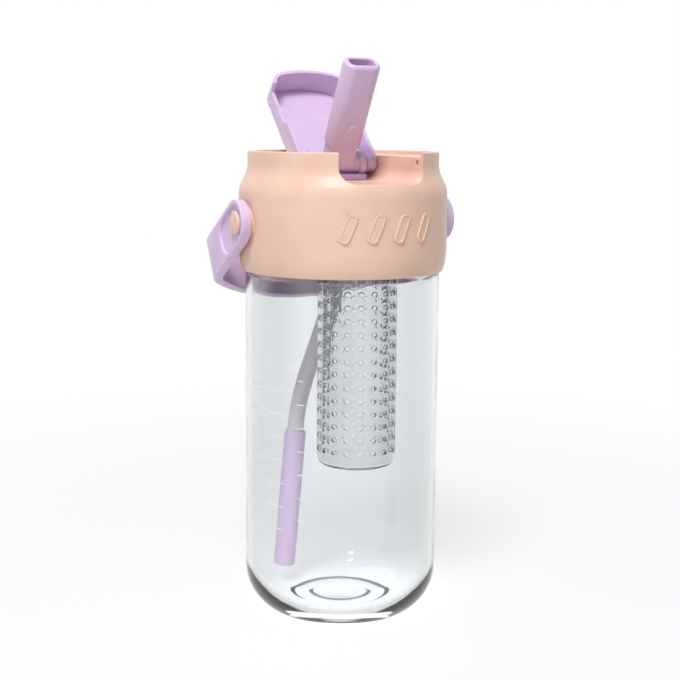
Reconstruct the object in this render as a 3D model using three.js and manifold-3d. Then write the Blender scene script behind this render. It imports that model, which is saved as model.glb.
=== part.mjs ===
// Tea infuser bottle: a clear bottle, a screw lid with a flip cover and folding spout, a carry loop,
// an infuser basket and a straw. Millimetres, +Z up, origin at the middle of the base, front towards -Y.

import * as THREE from 'three';
import { mergeVertices } from 'three/addons/utils/BufferGeometryUtils.js';
import Module from 'manifold-3d';

const wasm = await Module();
wasm.setup();

// Driving dimensions: clearances
const fit = 0.3; // between pieces that are pressed or seated together
const slip = 0.5; // between pieces that turn or slide past each other

// Bottle
const bodyRadius = 40.9;
const bodyWall = 2.6;
const bodyHeight = 148.7; // height of the straight side
const floorThickness = 4.5;
const footCorner = 18;
const footPadRadius = 12;
const footRingInner = 22;
const footRecess = 1.5;
const shoulderRise = 4.2;
const neckStep = 5.9; // the neck's side lies this far inside the body's
const neckWall = 2.4;
const neckHeight = 17;

// Screw thread
const threadPitch = 6;
const threadDepth = 1.1;
const threadRoot = 2.2; // axial width at the root
const threadCrest = 1.2;
const bottleThreadTurns = 1.25;
const linerThreadTurns = 1;
const threadTopMargin = 4; // from the bottle's rim down to the middle of its thread's top end

// Lid shell
const skirtStep = 2.8; // the skirt's side lies this far outside the body's
const skirtOverlap = 1.5; // how far the skirt reaches down over the bottle's side
const skirtTuck = 1.7; // how far the skirt's lower edge draws in
const skirtTuckHeight = 7;
const crownStep = 3.7; // the crown's side lies this far inside the skirt's
const crownHeight = 8; // straight part below the rim
const crownFlare = 7.6; // height of the soft shoulder from crown to skirt
const lidWall = 2.4;
const rimLip = 2; // the rim stands this far above the deck
const rimWidth = 2;
const rimEdge = 0.5; // bevel on the rim's outside
const ledgeHeight = 2.4;
const ledgeWidth = 2.4;

// Channel for the spout, open to the front through the rim
const channelHalfWidth = 18.5;
const channelDepth = 12.4;
const channelCorner = 5;
const channelBack = 21.5;
const channelWall = 2;

// Grip marks on the skirt
const gripCount = 4;
const gripSpacing = 14.7; // degrees
const gripLength = 12;
const gripWidth = 4.4;
const gripLean = 22; // degrees
const gripProud = 0.5;
const gripHeight = 24.5; // below the rim, to the top of a mark

// Inner cap
const gasketThickness = 2;
const linerDisc = 2.2;
const linerWall = 2.6;
const capRoom = 7.6; // from the inner cap's disc up to the underside of the spout's channel

// Hinge shared by the cover and the spout
const hingeBack = 7.5; // behind the bottle's axis
const hingeDrop = 5.2; // below the rim
const pinRadius = 1.5;
const pinSeat = 1.4; // into the channel wall
const pinReach = 3; // into the spout's barrel

// Flip cover
const coverTop = 6.3; // from the hinge axis up to the cover's top face
const coverPlate = 1.6;
const coverWall = 1.6;
const coverGap = 0.7;
const coverCorner = 5;
const coverEdge = 3; // rounding of the long top edges
const coverFrontDepth = 12.5;
const coverSideDepth = 7.5;
const coverRearDepth = 10.5;
const coverStep = 19; // from the hinge to the step in the side wall
const coverStepRun = 4;
const coverTail = 1.4; // behind the hinge
const earRadius = 3.5;
const earThickness = 4.5;
const coverOpenAngle = 136;
const bumpRadius = 1.1;
const bumpProud = 0.4;
const bumpFromFront = 10;
const bumpBelowTop = 2.6;

// Spout
const spoutReach = 48; // from the hinge axis to the mouth
const spoutWidth = 16;
const spoutDepth = 10;
const spoutCorner = 4;
const spoutBottom = 8.5;
const spoutForward = 1; // the tube lies this far in front of the hinge axis
const spoutBoreWidth = 10;
const spoutBoreDepth = 5.2;
const spoutBoreCorner = 2;
const spoutNeckWidth = 13.4;
const spoutNeckDepth = 6.4;
const barrelRadius = 5.2;
const barrelHalfWidth = 12.3;
const saddleHalf = 3.6;
const portRadius = 2.6;
const spoutLean = 30; // degrees in front of upright
const nubSize = 3.2;
const nubProud = 1;
const nubAbove = 12;

// Seal under the barrel
const sealHalfDepth = 5.5;
const sealHeight = 2.4;
const sealSleeve = 4.4;

// Vent
const ventX = 18;
const ventY = 17;
const ventStem = 1.8;
const ventHead = 3.6;
const ventHeadThickness = 1.4;
const airHole = 1.2;

// Carry loop
const handleDrop = 29; // pivot below the rim
const bossRadius = 7.5;
const bossProud = 0.7;
const strapThickness = 4;
const strapWidth = 19;
const strapCorner = 7.4; // the loop's corners lie this far short of the skirt's radius
const strapBack = 14.8; // the middle of its back lies this far past the skirt's radius
const strapHang = 30; // degrees below level
const strapBend = 4; // length of the turn from an arm into the loop's back
const strapBendIn = 3.2; // how far that turn comes in from the arm
const strapBowStart = 11.2; // how far in from the arm the bow's first pull lies
const strapBowRise = 12; // from the corner, along the arm
const strapFlat = 20; // half of the nearly straight back
const recessRadius = 7.6;
const recessDepth = 1.2;
const buttonRadius = 5;
const buttonHead = 1.6;
const buttonShank = 3;
const buttonSeat = 3.4;

// Infuser
const infuserNeckGap = 1.3; // between its side and the bottle's neck
const infuserSleeveGap = 0.8; // between its side and the straw's sleeve
const infuserWall = 1.5;
const infuserFloor = 1.6;
const infuserBottom = 67;
const infuserCorner = 3;
const infuserNeck = 3.8; // height of the ring that clips into the collar
const collarHeight = 14.3;
const bossLength = 10;
const collarWall = 2.4;
const infuserBossWall = 2;
const lugProud = 1.1;
const lugHeight = 2;
const lugWidth = 20; // degrees
const lugLift = 1.2; // above the boss's lower end
const bayonetTurn = 40; // degrees
const holeRadius = 1.4;
const holesAround = 8;
const holeRows = 8;
const holePitch = 9;
const holeStart = 9; // from the basket's bottom to its first row
const holeSides = 4;

// Straw
const strawRadius = 4.9;
const strawWall = 0.9;
const strawHeight = 73; // height of its upper end
const strawWallGap = 11.5; // from the body's outside in to the middle of its lower end
const strawTurn = 35.3; // of its lower end, in degrees from the back towards the left
const strawLean = 5.4; // its upper end lies this far nearer the middle
const strawLift = 8; // above the bottle's floor
const stemGrip = 10; // length of the sleeve's stem inside the straw
const stemWall = 1.2;
const stemBendPull = 0.4; // softness of the stem's two bends
const spigotRadius = 3;
const spigotBore = 2.2;
const spigotLength = 18.8;
const sleeveRadius = 5;
const sleeveUpper = 16;

// Heights that follow from them
const neckTop = bodyHeight + shoulderRise + neckHeight;
const lidBottom = bodyHeight - skirtOverlap;
const gasketBottom = neckTop + fit;
const discBottom = gasketBottom + gasketThickness + fit;
const discTop = discBottom + linerDisc;
const channelFloor = discTop + capRoom + channelWall;
const rim = channelFloor + channelDepth;
const deck = rim - rimLip;
const hinge = new THREE.Vector3(0, hingeBack, rim - hingeDrop);
const neckRadius = bodyRadius - neckStep;
const neckBore = neckRadius - neckWall;
const skirtRadius = bodyRadius + skirtStep;
const crownRadius = skirtRadius - crownStep;
const barrelSweep = Math.max(barrelRadius, Math.hypot(saddleHalf, saddleHalf));
const sealHalfWidth = barrelHalfWidth - fit;
const linerInner = neckRadius + threadDepth + slip;
const linerOuter = linerInner + linerWall;
const linerBottom = bodyHeight + shoulderRise + slip;
const handlePivot = rim - handleDrop;
const armInner = skirtRadius + bossProud + fit;
const armOuter = armInner + strapThickness;
const strapArm = skirtRadius - strapCorner;
const strapReach = skirtRadius + strapBack;
const infuserRadius = (neckBore - infuserNeckGap + hingeBack - sleeveRadius - infuserSleeveGap) / 2;
const infuserFront = neckBore - infuserNeckGap - infuserRadius; // in front of the bottle's axis
const infuserBoss = infuserRadius - collarWall - slip;

// Facets
const round = 40; // on the bottle and the lid
const medium = 28; // on the infuser, barrel and bosses
const small = 16; // on tubes and shanks
const tiny = 12; // on pins and dimples
const threadSteps = 30; // per turn of a thread
const stemSteps = 18; // along the sleeve's stem

// Turns a closed geometry into a solid that can be joined and cut.
function solidFrom(geometry) {
  geometry.deleteAttribute('normal');
  geometry.deleteAttribute('uv');
  const merged = mergeVertices(geometry, 1e-4);
  const index = Array.from(merged.index.array);
  const position = merged.attributes.position;
  const corner = [0, 1, 2].map(() => new THREE.Vector3());
  const triangles = [];
  let volume = 0;
  for (let i = 0; i < index.length; i += 3) {
    const triangle = index.slice(i, i + 3);
    if (new Set(triangle).size < 3) continue;
    triangles.push(triangle);
    triangle.forEach((vertex, k) => corner[k].fromBufferAttribute(position, vertex));
    volume += corner[0].dot(corner[1].clone().cross(corner[2]));
  }
  if (volume < 0) triangles.forEach((triangle) => triangle.reverse());
  return new wasm.Manifold(new wasm.Mesh({
    numProp: 3,
    vertProperties: new Float32Array(position.array),
    triVerts: new Uint32Array(triangles.flat()),
  }));
}

function geometryOf(solid) {
  const { vertProperties, triVerts } = solid.getMesh();
  const geometry = new THREE.BufferGeometry();
  geometry.setAttribute('position', new THREE.BufferAttribute(new Float32Array(vertProperties), 3));
  geometry.setIndex(new THREE.BufferAttribute(new Uint32Array(triVerts), 1));
  geometry.computeVertexNormals();
  return geometry;
}

// A round solid about the Z axis through (x, y), from an outline of [radius, height] points.
function lathe(outline, sides = round, x = 0, y = 0) {
  const points = outline.map(([radius, height]) => new THREE.Vector2(radius, height));
  const geometry = new THREE.LatheGeometry(points, sides);
  geometry.rotateX(Math.PI / 2).translate(x, y, 0);
  return solidFrom(geometry);
}

// A round wall about the Z axis through (x, y).
function tube(inner, outer, bottom, top, sides = small, x = 0, y = 0) {
  return lathe([[inner, bottom], [outer, bottom], [outer, top], [inner, top], [inner, bottom]], sides, x, y);
}

// Outline points along an arc, with angles in degrees from the radius direction.
function arc(radius, height, size, from, to, steps = 4) {
  return Array.from({ length: steps + 1 }, (_, i) => {
    const angle = THREE.MathUtils.degToRad(from + ((to - from) * i) / steps);
    return [radius + size * Math.cos(angle), height + size * Math.sin(angle)];
  });
}

function rod(radius, start, end, sides = small) {
  const along = end.clone().sub(start);
  const geometry = new THREE.CylinderGeometry(radius, radius, along.length(), sides);
  geometry.applyQuaternion(new THREE.Quaternion().setFromUnitVectors(
    new THREE.Vector3(0, 1, 0),
    along.clone().normalize(),
  ));
  const middle = start.clone().add(end).multiplyScalar(0.5);
  return solidFrom(geometry.translate(middle.x, middle.y, middle.z));
}

function box(xMin, xMax, yMin, yMax, zMin, zMax) {
  const geometry = new THREE.BoxGeometry(xMax - xMin, yMax - yMin, zMax - zMin);
  return solidFrom(geometry.translate((xMin + xMax) / 2, (yMin + yMax) / 2, (zMin + zMax) / 2));
}

// A flat shape drawn in X and Y, raised from one height to another.
function raise(shape, bottom, top, curveSegments = 6) {
  const depth = top - bottom;
  const geometry = new THREE.ExtrudeGeometry(shape, { depth, bevelEnabled: false, curveSegments });
  return solidFrom(geometry.translate(0, 0, bottom));
}

// A flat shape drawn in Y and Z, drawn out along X.
function sideways(shape, from, to, curveSegments = 6) {
  const depth = to - from;
  const geometry = new THREE.ExtrudeGeometry(shape, { depth, bevelEnabled: false, curveSegments });
  const turn = new THREE.Matrix4().makeBasis(
    new THREE.Vector3(0, 1, 0),
    new THREE.Vector3(0, 0, 1),
    new THREE.Vector3(1, 0, 0),
  );
  return solidFrom(geometry.applyMatrix4(turn).translate(from, 0, 0));
}

function roundedRectangle(width, depth, corner, x = 0, y = 0) {
  const shape = new THREE.Shape();
  const right = x + width / 2 - corner;
  const left = x - width / 2 + corner;
  const far = y + depth / 2 - corner;
  const near = y - depth / 2 + corner;
  shape.absarc(right, far, corner, 0, Math.PI / 2);
  shape.absarc(left, far, corner, Math.PI / 2, Math.PI);
  shape.absarc(left, near, corner, Math.PI, 1.5 * Math.PI);
  shape.absarc(right, near, corner, 1.5 * Math.PI, 2 * Math.PI);
  shape.closePath();
  return shape;
}

// A part of a ring between two angles in degrees, in X and Y about (x, y).
function ringPart(inner, outer, from, to, x, y) {
  const start = THREE.MathUtils.degToRad(from);
  const end = THREE.MathUtils.degToRad(to);
  const shape = new THREE.Shape();
  shape.absarc(x, y, outer, start, end, false);
  shape.absarc(x, y, inner, end, start, true);
  shape.closePath();
  return shape;
}

// A screw ridge about the Z axis, rising counter-clockwise, with a trapezoid section.
function screwRidge(rootRadius, crestRadius, startHeight, turns) {
  const steps = Math.round(turns * threadSteps);
  const section = [
    [rootRadius, -threadRoot / 2],
    [crestRadius, -threadCrest / 2],
    [crestRadius, threadCrest / 2],
    [rootRadius, threadRoot / 2],
  ];
  const positions = [];
  const triangles = [];
  for (let i = 0; i <= steps; i += 1) {
    const angle = (i / threadSteps) * 2 * Math.PI;
    const height = startHeight + (i / threadSteps) * threadPitch;
    section.forEach(([radius, rise]) => {
      positions.push(radius * Math.cos(angle), radius * Math.sin(angle), height + rise);
    });
  }
  for (let i = 0; i < steps; i += 1) {
    for (let k = 0; k < 4; k += 1) {
      const a = i * 4 + k;
      const b = i * 4 + ((k + 1) % 4);
      triangles.push(a, b, a + 4, b, b + 4, a + 4);
    }
  }
  const last = steps * 4;
  triangles.push(0, 2, 1, 0, 3, 2, last, last + 1, last + 2, last, last + 2, last + 3);
  const geometry = new THREE.BufferGeometry();
  geometry.setAttribute('position', new THREE.Float32BufferAttribute(positions, 3));
  geometry.setIndex(triangles);
  return solidFrom(geometry);
}

// A flat shape drawn in X and Z, drawn out along Y.
function lengthways(shape, front, back, curveSegments = 6) {
  const depth = back - front;
  const geometry = new THREE.ExtrudeGeometry(shape, { depth, bevelEnabled: false, curveSegments });
  const turn = new THREE.Matrix4().makeBasis(
    new THREE.Vector3(1, 0, 0),
    new THREE.Vector3(0, 0, 1),
    new THREE.Vector3(0, -1, 0),
  );
  return solidFrom(geometry.applyMatrix4(turn).translate(0, back, 0));
}

function polygon(points) {
  return new THREE.Shape(points.map(([x, y]) => new THREE.Vector2(x, y)));
}

function point(x, y, z) {
  return new THREE.Vector3(x, y, z);
}

function join(...solids) {
  return solids.reduce((whole, solid) => whole.add(solid));
}

function cut(whole, ...solids) {
  return solids.reduce((left, solid) => left.subtract(solid), whole);
}

// Clear bottle with a stepped foot, a shoulder hidden by the lid and a threaded neck.
function bottleBody() {
  const inner = bodyRadius - bodyWall;
  const innerCorner = footCorner - bodyWall;
  const shell = lathe([
    [0, 0],
    [footPadRadius, 0],
    [footPadRadius + footRecess, footRecess],
    [footRingInner - footRecess, footRecess],
    [footRingInner, 0],
    ...arc(bodyRadius - footCorner, footCorner, footCorner, -90, 0, 6),
    [bodyRadius, bodyHeight],
    [neckRadius, bodyHeight + shoulderRise],
    [neckRadius, neckTop],
    [neckBore, neckTop],
    [neckBore, bodyHeight + shoulderRise - bodyWall / 2],
    [inner, bodyHeight - bodyWall / 2],
    ...arc(inner - innerCorner, floorThickness + innerCorner, innerCorner, 0, -90, 5),
    [0, floorThickness],
  ]);
  return shell.add(bottleThread());
}

const bottleThreadStart = neckTop - threadTopMargin - bottleThreadTurns * threadPitch;

function bottleThread() {
  const root = neckRadius - neckWall / 4;
  return screwRidge(root, neckRadius + threadDepth, bottleThreadStart, bottleThreadTurns);
}

// The lid's outside, as if it were filled.
function lidOutside() {
  const flareTop = rim - crownHeight;
  const flare = [1, 0.75, 0.5, 0.25, 0].map((part) => [
    crownRadius + crownStep * THREE.MathUtils.smoothstep(part, 0, 1),
    flareTop - crownFlare * part,
  ]);
  const tuck = arc(0, 0, 1, -90, 0).map(([across, up]) => [
    skirtRadius + skirtTuck * (across - 1),
    lidBottom + skirtTuckHeight * (up + 1),
  ]);
  return lathe([
    [0, lidBottom],
    ...tuck,
    ...flare,
    [crownRadius, rim - rimEdge],
    [crownRadius - rimEdge, rim],
    [crownRadius - rimWidth, rim],
    [crownRadius - rimWidth, deck],
    [0, deck],
  ]);
}

function lidHollow() {
  const seat = linerOuter + fit;
  const seatBottom = bodyHeight + shoulderRise / 2;
  const ledge = discTop + fit;
  const flareBottom = rim - crownHeight - crownFlare;
  return lathe([
    [0, lidBottom - skirtTuck],
    [bodyRadius + slip, lidBottom - skirtTuck],
    [bodyRadius + slip, seatBottom],
    [seat, seatBottom],
    [seat, ledge],
    [seat - ledgeWidth, ledge],
    [seat - ledgeWidth, ledge + ledgeHeight],
    [seat, ledge + ledgeHeight],
    [seat, flareBottom],
    [crownRadius - lidWall, flareBottom + crownFlare],
    [crownRadius - lidWall, deck - lidWall],
    [0, deck - lidWall],
  ]);
}

function channelSpace() {
  const shape = new THREE.Shape();
  const half = channelHalfWidth;
  const over = rim + rimLip;
  shape.moveTo(-half, over);
  shape.lineTo(-half, channelFloor + channelCorner);
  shape.absarc(-half + channelCorner, channelFloor + channelCorner, channelCorner, Math.PI, 1.5 * Math.PI);
  shape.absarc(half - channelCorner, channelFloor + channelCorner, channelCorner, 1.5 * Math.PI, 2 * Math.PI);
  shape.lineTo(half, over);
  shape.closePath();
  return lengthways(shape, -skirtRadius - skirtTuck, channelBack);
}

function gripMark(angle) {
  const half = gripLength / 2 - gripWidth / 2;
  const shape = new THREE.Shape();
  shape.absarc(0, half, gripWidth / 2, 0, Math.PI);
  shape.absarc(0, -half, gripWidth / 2, Math.PI, 2 * Math.PI);
  shape.closePath();
  const sunk = 2 * gripProud;
  const geometry = new THREE.ExtrudeGeometry(shape, {
    depth: sunk + gripProud,
    bevelEnabled: false,
    curveSegments: 4,
  });
  geometry.rotateZ(-THREE.MathUtils.degToRad(gripLean));
  const middle = rim - gripHeight - gripLength / 2;
  const turn = THREE.MathUtils.degToRad(angle);
  const outward = point(Math.sin(turn), -Math.cos(turn), 0);
  const across = point(Math.cos(turn), Math.sin(turn), 0);
  const place = new THREE.Matrix4().makeBasis(across, point(0, 0, 1), outward);
  place.setPosition(outward.clone().multiplyScalar(skirtRadius - sunk).setZ(middle));
  return solidFrom(geometry.applyMatrix4(place));
}

const coverHalfWidth = channelHalfWidth - coverGap;
const coverFrontCorner = -Math.sqrt(skirtRadius ** 2 - coverHalfWidth ** 2) - hingeBack;
const bumpY = coverFrontCorner + bumpFromFront;
const bumpZ = coverTop - bumpBelowTop;

// Peach lid: skirt, shoulder, rim, deck and the spout's channel in one moulding.
function lidShell() {
  const outside = lidOutside();
  const trough = box(
    -channelHalfWidth - channelWall,
    channelHalfWidth + channelWall,
    -skirtRadius,
    channelBack + channelWall,
    channelFloor - channelWall,
    deck,
  );
  const firstMark = ((1 - gripCount) / 2) * gripSpacing;
  const marks = Array.from({ length: gripCount }, (_, i) => gripMark(firstMark + i * gripSpacing));
  const bosses = [-1, 1].map((side) => rod(
    bossRadius,
    point(side * (linerOuter + 2 * fit), 0, handlePivot),
    point(side * (skirtRadius + bossProud), 0, handlePivot),
    medium,
  ));
  const bores = [-1, 1].flatMap((side) => [
    rod(
      pinRadius + fit,
      point(side * (channelHalfWidth - channelWall), hinge.y, hinge.z),
      point(side * (channelHalfWidth + pinSeat + fit), hinge.y, hinge.z),
      tiny,
    ),
    rod(
      bumpRadius + fit,
      point(side * (channelHalfWidth - channelWall), hinge.y + bumpY, hinge.z + bumpZ),
      point(side * (channelHalfWidth + bumpProud), hinge.y + bumpY, hinge.z + bumpZ),
      tiny,
    ),
    rod(
      buttonShank + fit,
      point(side * (armInner - buttonSeat - fit), 0, handlePivot),
      point(side * (armInner + fit), 0, handlePivot),
    ),
  ]);
  const under = channelFloor - 2 * channelWall;
  const over = channelFloor + channelWall;
  const port = rod(sealSleeve + fit, point(0, hinge.y, under), point(0, hinge.y, over));
  const airY = channelBack - 2 * channelWall;
  const air = rod(airHole, point(0, airY, under), point(0, airY, over), tiny);
  const wall = join(cut(outside, lidHollow()), outside.intersect(trough), ...marks, ...bosses);
  return cut(wall, channelSpace(), ...bores, port, air);
}

const infuserBossBottom = discBottom - bossLength;
const lugBottom = infuserBossBottom + lugLift;
const lugAngles = [0, 180];

// Inner cap: a threaded wall, the straw's spigot, the chimney to the spout and the infuser's boss.
function lidLiner() {
  const overlap = linerDisc / 2;
  const cap = lathe([
    [0, discBottom],
    [linerInner, discBottom],
    [linerInner, linerBottom],
    [linerOuter, linerBottom],
    [linerOuter, discTop],
    [0, discTop],
  ]);
  const chimneyBore = sealSleeve + fit;
  const chimneyTop = channelFloor - channelWall - fit;
  const chimneyOuter = chimneyBore + lidWall / 2;
  const chimney = tube(chimneyBore, chimneyOuter, discTop - overlap, chimneyTop, small, 0, hinge.y);
  const spigot = tube(
    spigotBore,
    spigotRadius,
    discBottom - spigotLength,
    discBottom + overlap,
    small,
    0,
    hinge.y,
  );
  const boss = tube(
    infuserBoss - infuserBossWall,
    infuserBoss,
    infuserBossBottom,
    discBottom + overlap,
    medium,
    0,
    -infuserFront,
  );
  const lugs = lugAngles.map((angle) => raise(
    ringPart(
      infuserBoss - infuserBossWall / 2,
      infuserBoss + lugProud,
      angle - lugWidth / 2,
      angle + lugWidth / 2,
      0,
      -infuserFront,
    ),
    lugBottom,
    lugBottom + lugHeight,
  ));
  const ridge = screwRidge(
    linerInner + linerWall / 4,
    linerInner - threadDepth,
    bottleThreadStart - threadPitch / 2,
    linerThreadTurns,
  );
  const bore = rod(spigotBore, point(0, hinge.y, discBottom - overlap), point(0, hinge.y, discTop + overlap));
  const ventHole = rod(
    ventStem + fit,
    point(ventX, ventY, discBottom - overlap),
    point(ventX, ventY, discTop + overlap),
  );
  return cut(join(cap, chimney, spigot, boss, ...lugs, ridge), bore, ventHole);
}

function lidGasket() {
  return tube(neckBore, linerInner - fit, gasketBottom, gasketBottom + gasketThickness, round);
}

// The cover's outline from above, drawn in by some distance, with its front on the skirt's radius.
function coverPlan(inset, tail) {
  const half = coverHalfWidth - inset;
  const radius = skirtRadius - inset;
  const corner = coverCorner - inset;
  const side = half - corner;
  const swing = Math.asin(side / radius);
  const cornerY = -Math.sqrt(radius ** 2 - half ** 2) - hingeBack;
  const shape = new THREE.Shape();
  shape.moveTo(-half, tail);
  shape.lineTo(-half, cornerY + corner);
  shape.quadraticCurveTo(-half, cornerY, -side, -radius * Math.cos(swing) - hingeBack);
  shape.absarc(0, -hingeBack, radius, -Math.PI / 2 - swing, -Math.PI / 2 + swing, false);
  shape.quadraticCurveTo(half, cornerY, half, cornerY + corner);
  shape.lineTo(half, tail);
  shape.closePath();
  return shape;
}

// The cover's outline from the front: it follows the channel's rounded bottom with an even gap.
function coverSection() {
  const half = coverHalfWidth;
  const corner = channelCorner - coverGap;
  const bottom = hingeDrop - channelDepth + coverGap;
  const shape = new THREE.Shape();
  shape.absarc(half - coverEdge, coverTop - coverEdge, coverEdge, 0, Math.PI / 2);
  shape.absarc(-half + coverEdge, coverTop - coverEdge, coverEdge, Math.PI / 2, Math.PI);
  shape.absarc(-half + corner, bottom + corner, corner, Math.PI, 1.5 * Math.PI);
  shape.absarc(half - corner, bottom + corner, corner, 1.5 * Math.PI, 2 * Math.PI);
  shape.closePath();
  return lengthways(shape, -2 * skirtRadius, skirtRadius, 2);
}

// Lilac cover, drawn shut with the hinge axis at its origin.
function flipCover() {
  const low = coverTop - coverFrontDepth;
  const sideRim = coverTop - coverSideDepth;
  const rearRim = coverTop - coverRearDepth;
  const ceiling = coverTop - coverPlate;
  const block = raise(coverPlan(0, coverTail), low, coverTop).intersect(coverSection());
  const hollow = raise(coverPlan(coverWall, coverTail + coverWall), low - coverWall, ceiling);
  const below = sideways(polygon([
    [coverFrontCorner + coverCorner, low - coverWall],
    [coverFrontCorner + coverCorner, sideRim],
    [-coverStep - coverStepRun, sideRim],
    [-coverStep, rearRim],
    [coverTail + coverWall, rearRim],
    [coverTail + coverWall, low - coverWall],
  ]), -skirtRadius, skirtRadius);
  const earInner = coverHalfWidth - earThickness;
  const ears = [-1, 1].flatMap((side) => {
    const edges = [side * earInner, side * coverHalfWidth].sort((a, b) => a - b);
    const web = box(edges[0], edges[1], -earRadius, coverTail, 0, ceiling + coverPlate / 2);
    const eye = rod(earRadius, point(side * earInner, 0, 0), point(side * coverHalfWidth, 0, 0));
    return [web, eye];
  });
  const bumps = [-1, 1].map((side) => rod(
    bumpRadius,
    point(side * (coverHalfWidth - coverWall / 2), bumpY, bumpZ),
    point(side * (coverHalfWidth + bumpProud), bumpY, bumpZ),
    tiny,
  ));
  const reach = barrelSweep + slip;
  const barrelRoom = Math.sqrt(Math.max(reach ** 2 - ceiling ** 2, 0)) + slip;
  const tail = coverTail + coverWall;
  const slot = box(-earInner, earInner, -barrelRoom, tail, ceiling - coverPlate, coverTop + coverPlate);
  const pinHole = rod(pinRadius + fit, point(-skirtRadius, 0, 0), point(skirtRadius, 0, 0), tiny);
  return cut(join(cut(block, hollow, below), ...ears, ...bumps), slot, pinHole);
}

// Lilac spout, drawn upright with the hinge axis at its origin.
function spout() {
  const outline = roundedRectangle(spoutWidth, spoutDepth, spoutCorner, 0, -spoutForward);
  const neckOutline = roundedRectangle(spoutNeckWidth, spoutNeckDepth, spoutCorner / 2, 0, -spoutForward);
  const boreOutline = roundedRectangle(spoutBoreWidth, spoutBoreDepth, spoutBoreCorner, 0, -spoutForward);
  const pipe = raise(outline, spoutBottom, spoutReach);
  const neck = raise(neckOutline, saddleHalf / 2, spoutBottom + spoutForward);
  const barrel = rod(barrelRadius, point(-barrelHalfWidth, 0, 0), point(barrelHalfWidth, 0, 0), medium);
  const saddle = box(
    -barrelHalfWidth + pinReach / 2,
    barrelHalfWidth - pinReach / 2,
    -saddleHalf,
    saddleHalf,
    0,
    saddleHalf,
  );
  const front = -spoutForward - spoutDepth / 2;
  const nubZ = spoutBottom + nubAbove;
  const nubHalf = nubSize / 2;
  const nub = box(-nubHalf, nubHalf, front - nubProud, front + nubProud, nubZ - nubHalf, nubZ + nubHalf);
  const bore = raise(boreOutline, portRadius / 2, spoutReach + spoutForward);
  const lean = THREE.MathUtils.degToRad(spoutLean);
  const down = point(0, -Math.sin(lean), -Math.cos(lean));
  const port = rod(
    portRadius,
    down.clone().multiplyScalar(-portRadius),
    down.clone().multiplyScalar(barrelRadius + portRadius),
  );
  const pinHoles = [-1, 1].map((side) => rod(
    pinRadius + fit,
    point(side * (barrelHalfWidth - pinReach - fit), 0, 0),
    point(side * (barrelHalfWidth + fit), 0, 0),
    tiny,
  ));
  return cut(join(pipe, neck, barrel, saddle, nub), bore, port, ...pinHoles);
}

// Soft seat on the channel's floor that the barrel turns on, with a sleeve down into the chimney.
function spoutSeal() {
  const bottom = channelFloor + fit;
  const seat = box(
    -sealHalfWidth,
    sealHalfWidth,
    hinge.y - sealHalfDepth,
    hinge.y + sealHalfDepth,
    bottom,
    bottom + sealHeight,
  );
  const sleeve = rod(sealSleeve, point(0, hinge.y, discTop + fit), point(0, hinge.y, bottom + fit));
  const left = point(-skirtRadius, hinge.y, hinge.z);
  const right = point(skirtRadius, hinge.y, hinge.z);
  const barrelRoom = rod(barrelSweep + fit, left, right, medium);
  const bore = rod(portRadius, point(0, hinge.y, discTop), point(0, hinge.y, hinge.z));
  return cut(join(seat, sleeve), barrelRoom, bore);
}

function hingePin(side) {
  const inner = point(side * (barrelHalfWidth - pinReach), hinge.y, hinge.z);
  const outer = point(side * (channelHalfWidth + pinSeat), hinge.y, hinge.z);
  return rod(pinRadius, inner, outer, tiny);
}

// Mushroom-shaped air valve in the liner's disc.
function ventValve() {
  const lip = (ventStem + ventHead) / 2;
  return lathe([
    [0, discBottom - fit - ventHeadThickness],
    [ventStem, discBottom - fit - ventHeadThickness],
    [lip, discBottom - fit],
    [ventStem, discBottom - fit],
    [ventStem, discTop + fit],
    [ventHead, discTop + fit],
    [ventHead, discTop + fit + ventHeadThickness],
    [0, discTop + fit + ventHeadThickness],
  ], small, ventX, ventY);
}

// Middle line of the carry loop, in X and in distance from the pivot.
function strapLine() {
  const side = armInner + strapThickness / 2;
  const bendX = side - strapBendIn;
  const bendY = strapArm + strapBendIn;
  const bowX = side - strapBowStart;
  const bowY = strapArm + strapBowRise;
  const line = new THREE.Path();
  line.moveTo(-side, -strapWidth);
  line.lineTo(-side, strapArm - strapBend);
  line.quadraticCurveTo(-side, strapArm, -bendX, bendY);
  line.bezierCurveTo(-bowX, bowY, -strapFlat, strapReach, 0, strapReach);
  line.bezierCurveTo(strapFlat, strapReach, bowX, bowY, bendX, bendY);
  line.quadraticCurveTo(side, strapArm, side, strapArm - strapBend);
  line.lineTo(side, -strapWidth);
  return line.getPoints(8);
}

// Lilac carry loop, drawn level with the pivot axis at its origin.
function handleStrap() {
  const line = strapLine();
  const edge = (distance) => line.map((here, i) => {
    const before = line[Math.max(i - 1, 0)];
    const after = line[Math.min(i + 1, line.length - 1)];
    const along = after.clone().sub(before).normalize();
    return new THREE.Vector2(here.x - along.y * distance, here.y + along.x * distance);
  });
  const band = new THREE.Shape([...edge(strapThickness / 2), ...edge(-strapThickness / 2).reverse()]);
  const loop = raise(band, -strapWidth / 2, strapWidth / 2);
  const half = strapWidth / 2;
  const profile = new THREE.Shape();
  profile.absarc(0, 0, half, Math.PI / 2, 1.5 * Math.PI);
  profile.lineTo(strapReach + strapWidth, -half);
  profile.lineTo(strapReach + strapWidth, half);
  profile.closePath();
  const trimmed = loop.intersect(sideways(profile, -armOuter - fit, armOuter + fit, 8));
  const holes = [-1, 1].flatMap((side) => [
    rod(
      recessRadius,
      point(side * (armOuter - recessDepth), 0, 0),
      point(side * (armOuter + fit), 0, 0),
      medium,
    ),
    rod(buttonShank + slip, point(side * (armInner - fit), 0, 0), point(side * armOuter, 0, 0)),
  ]);
  return cut(trimmed, ...holes);
}

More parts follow.
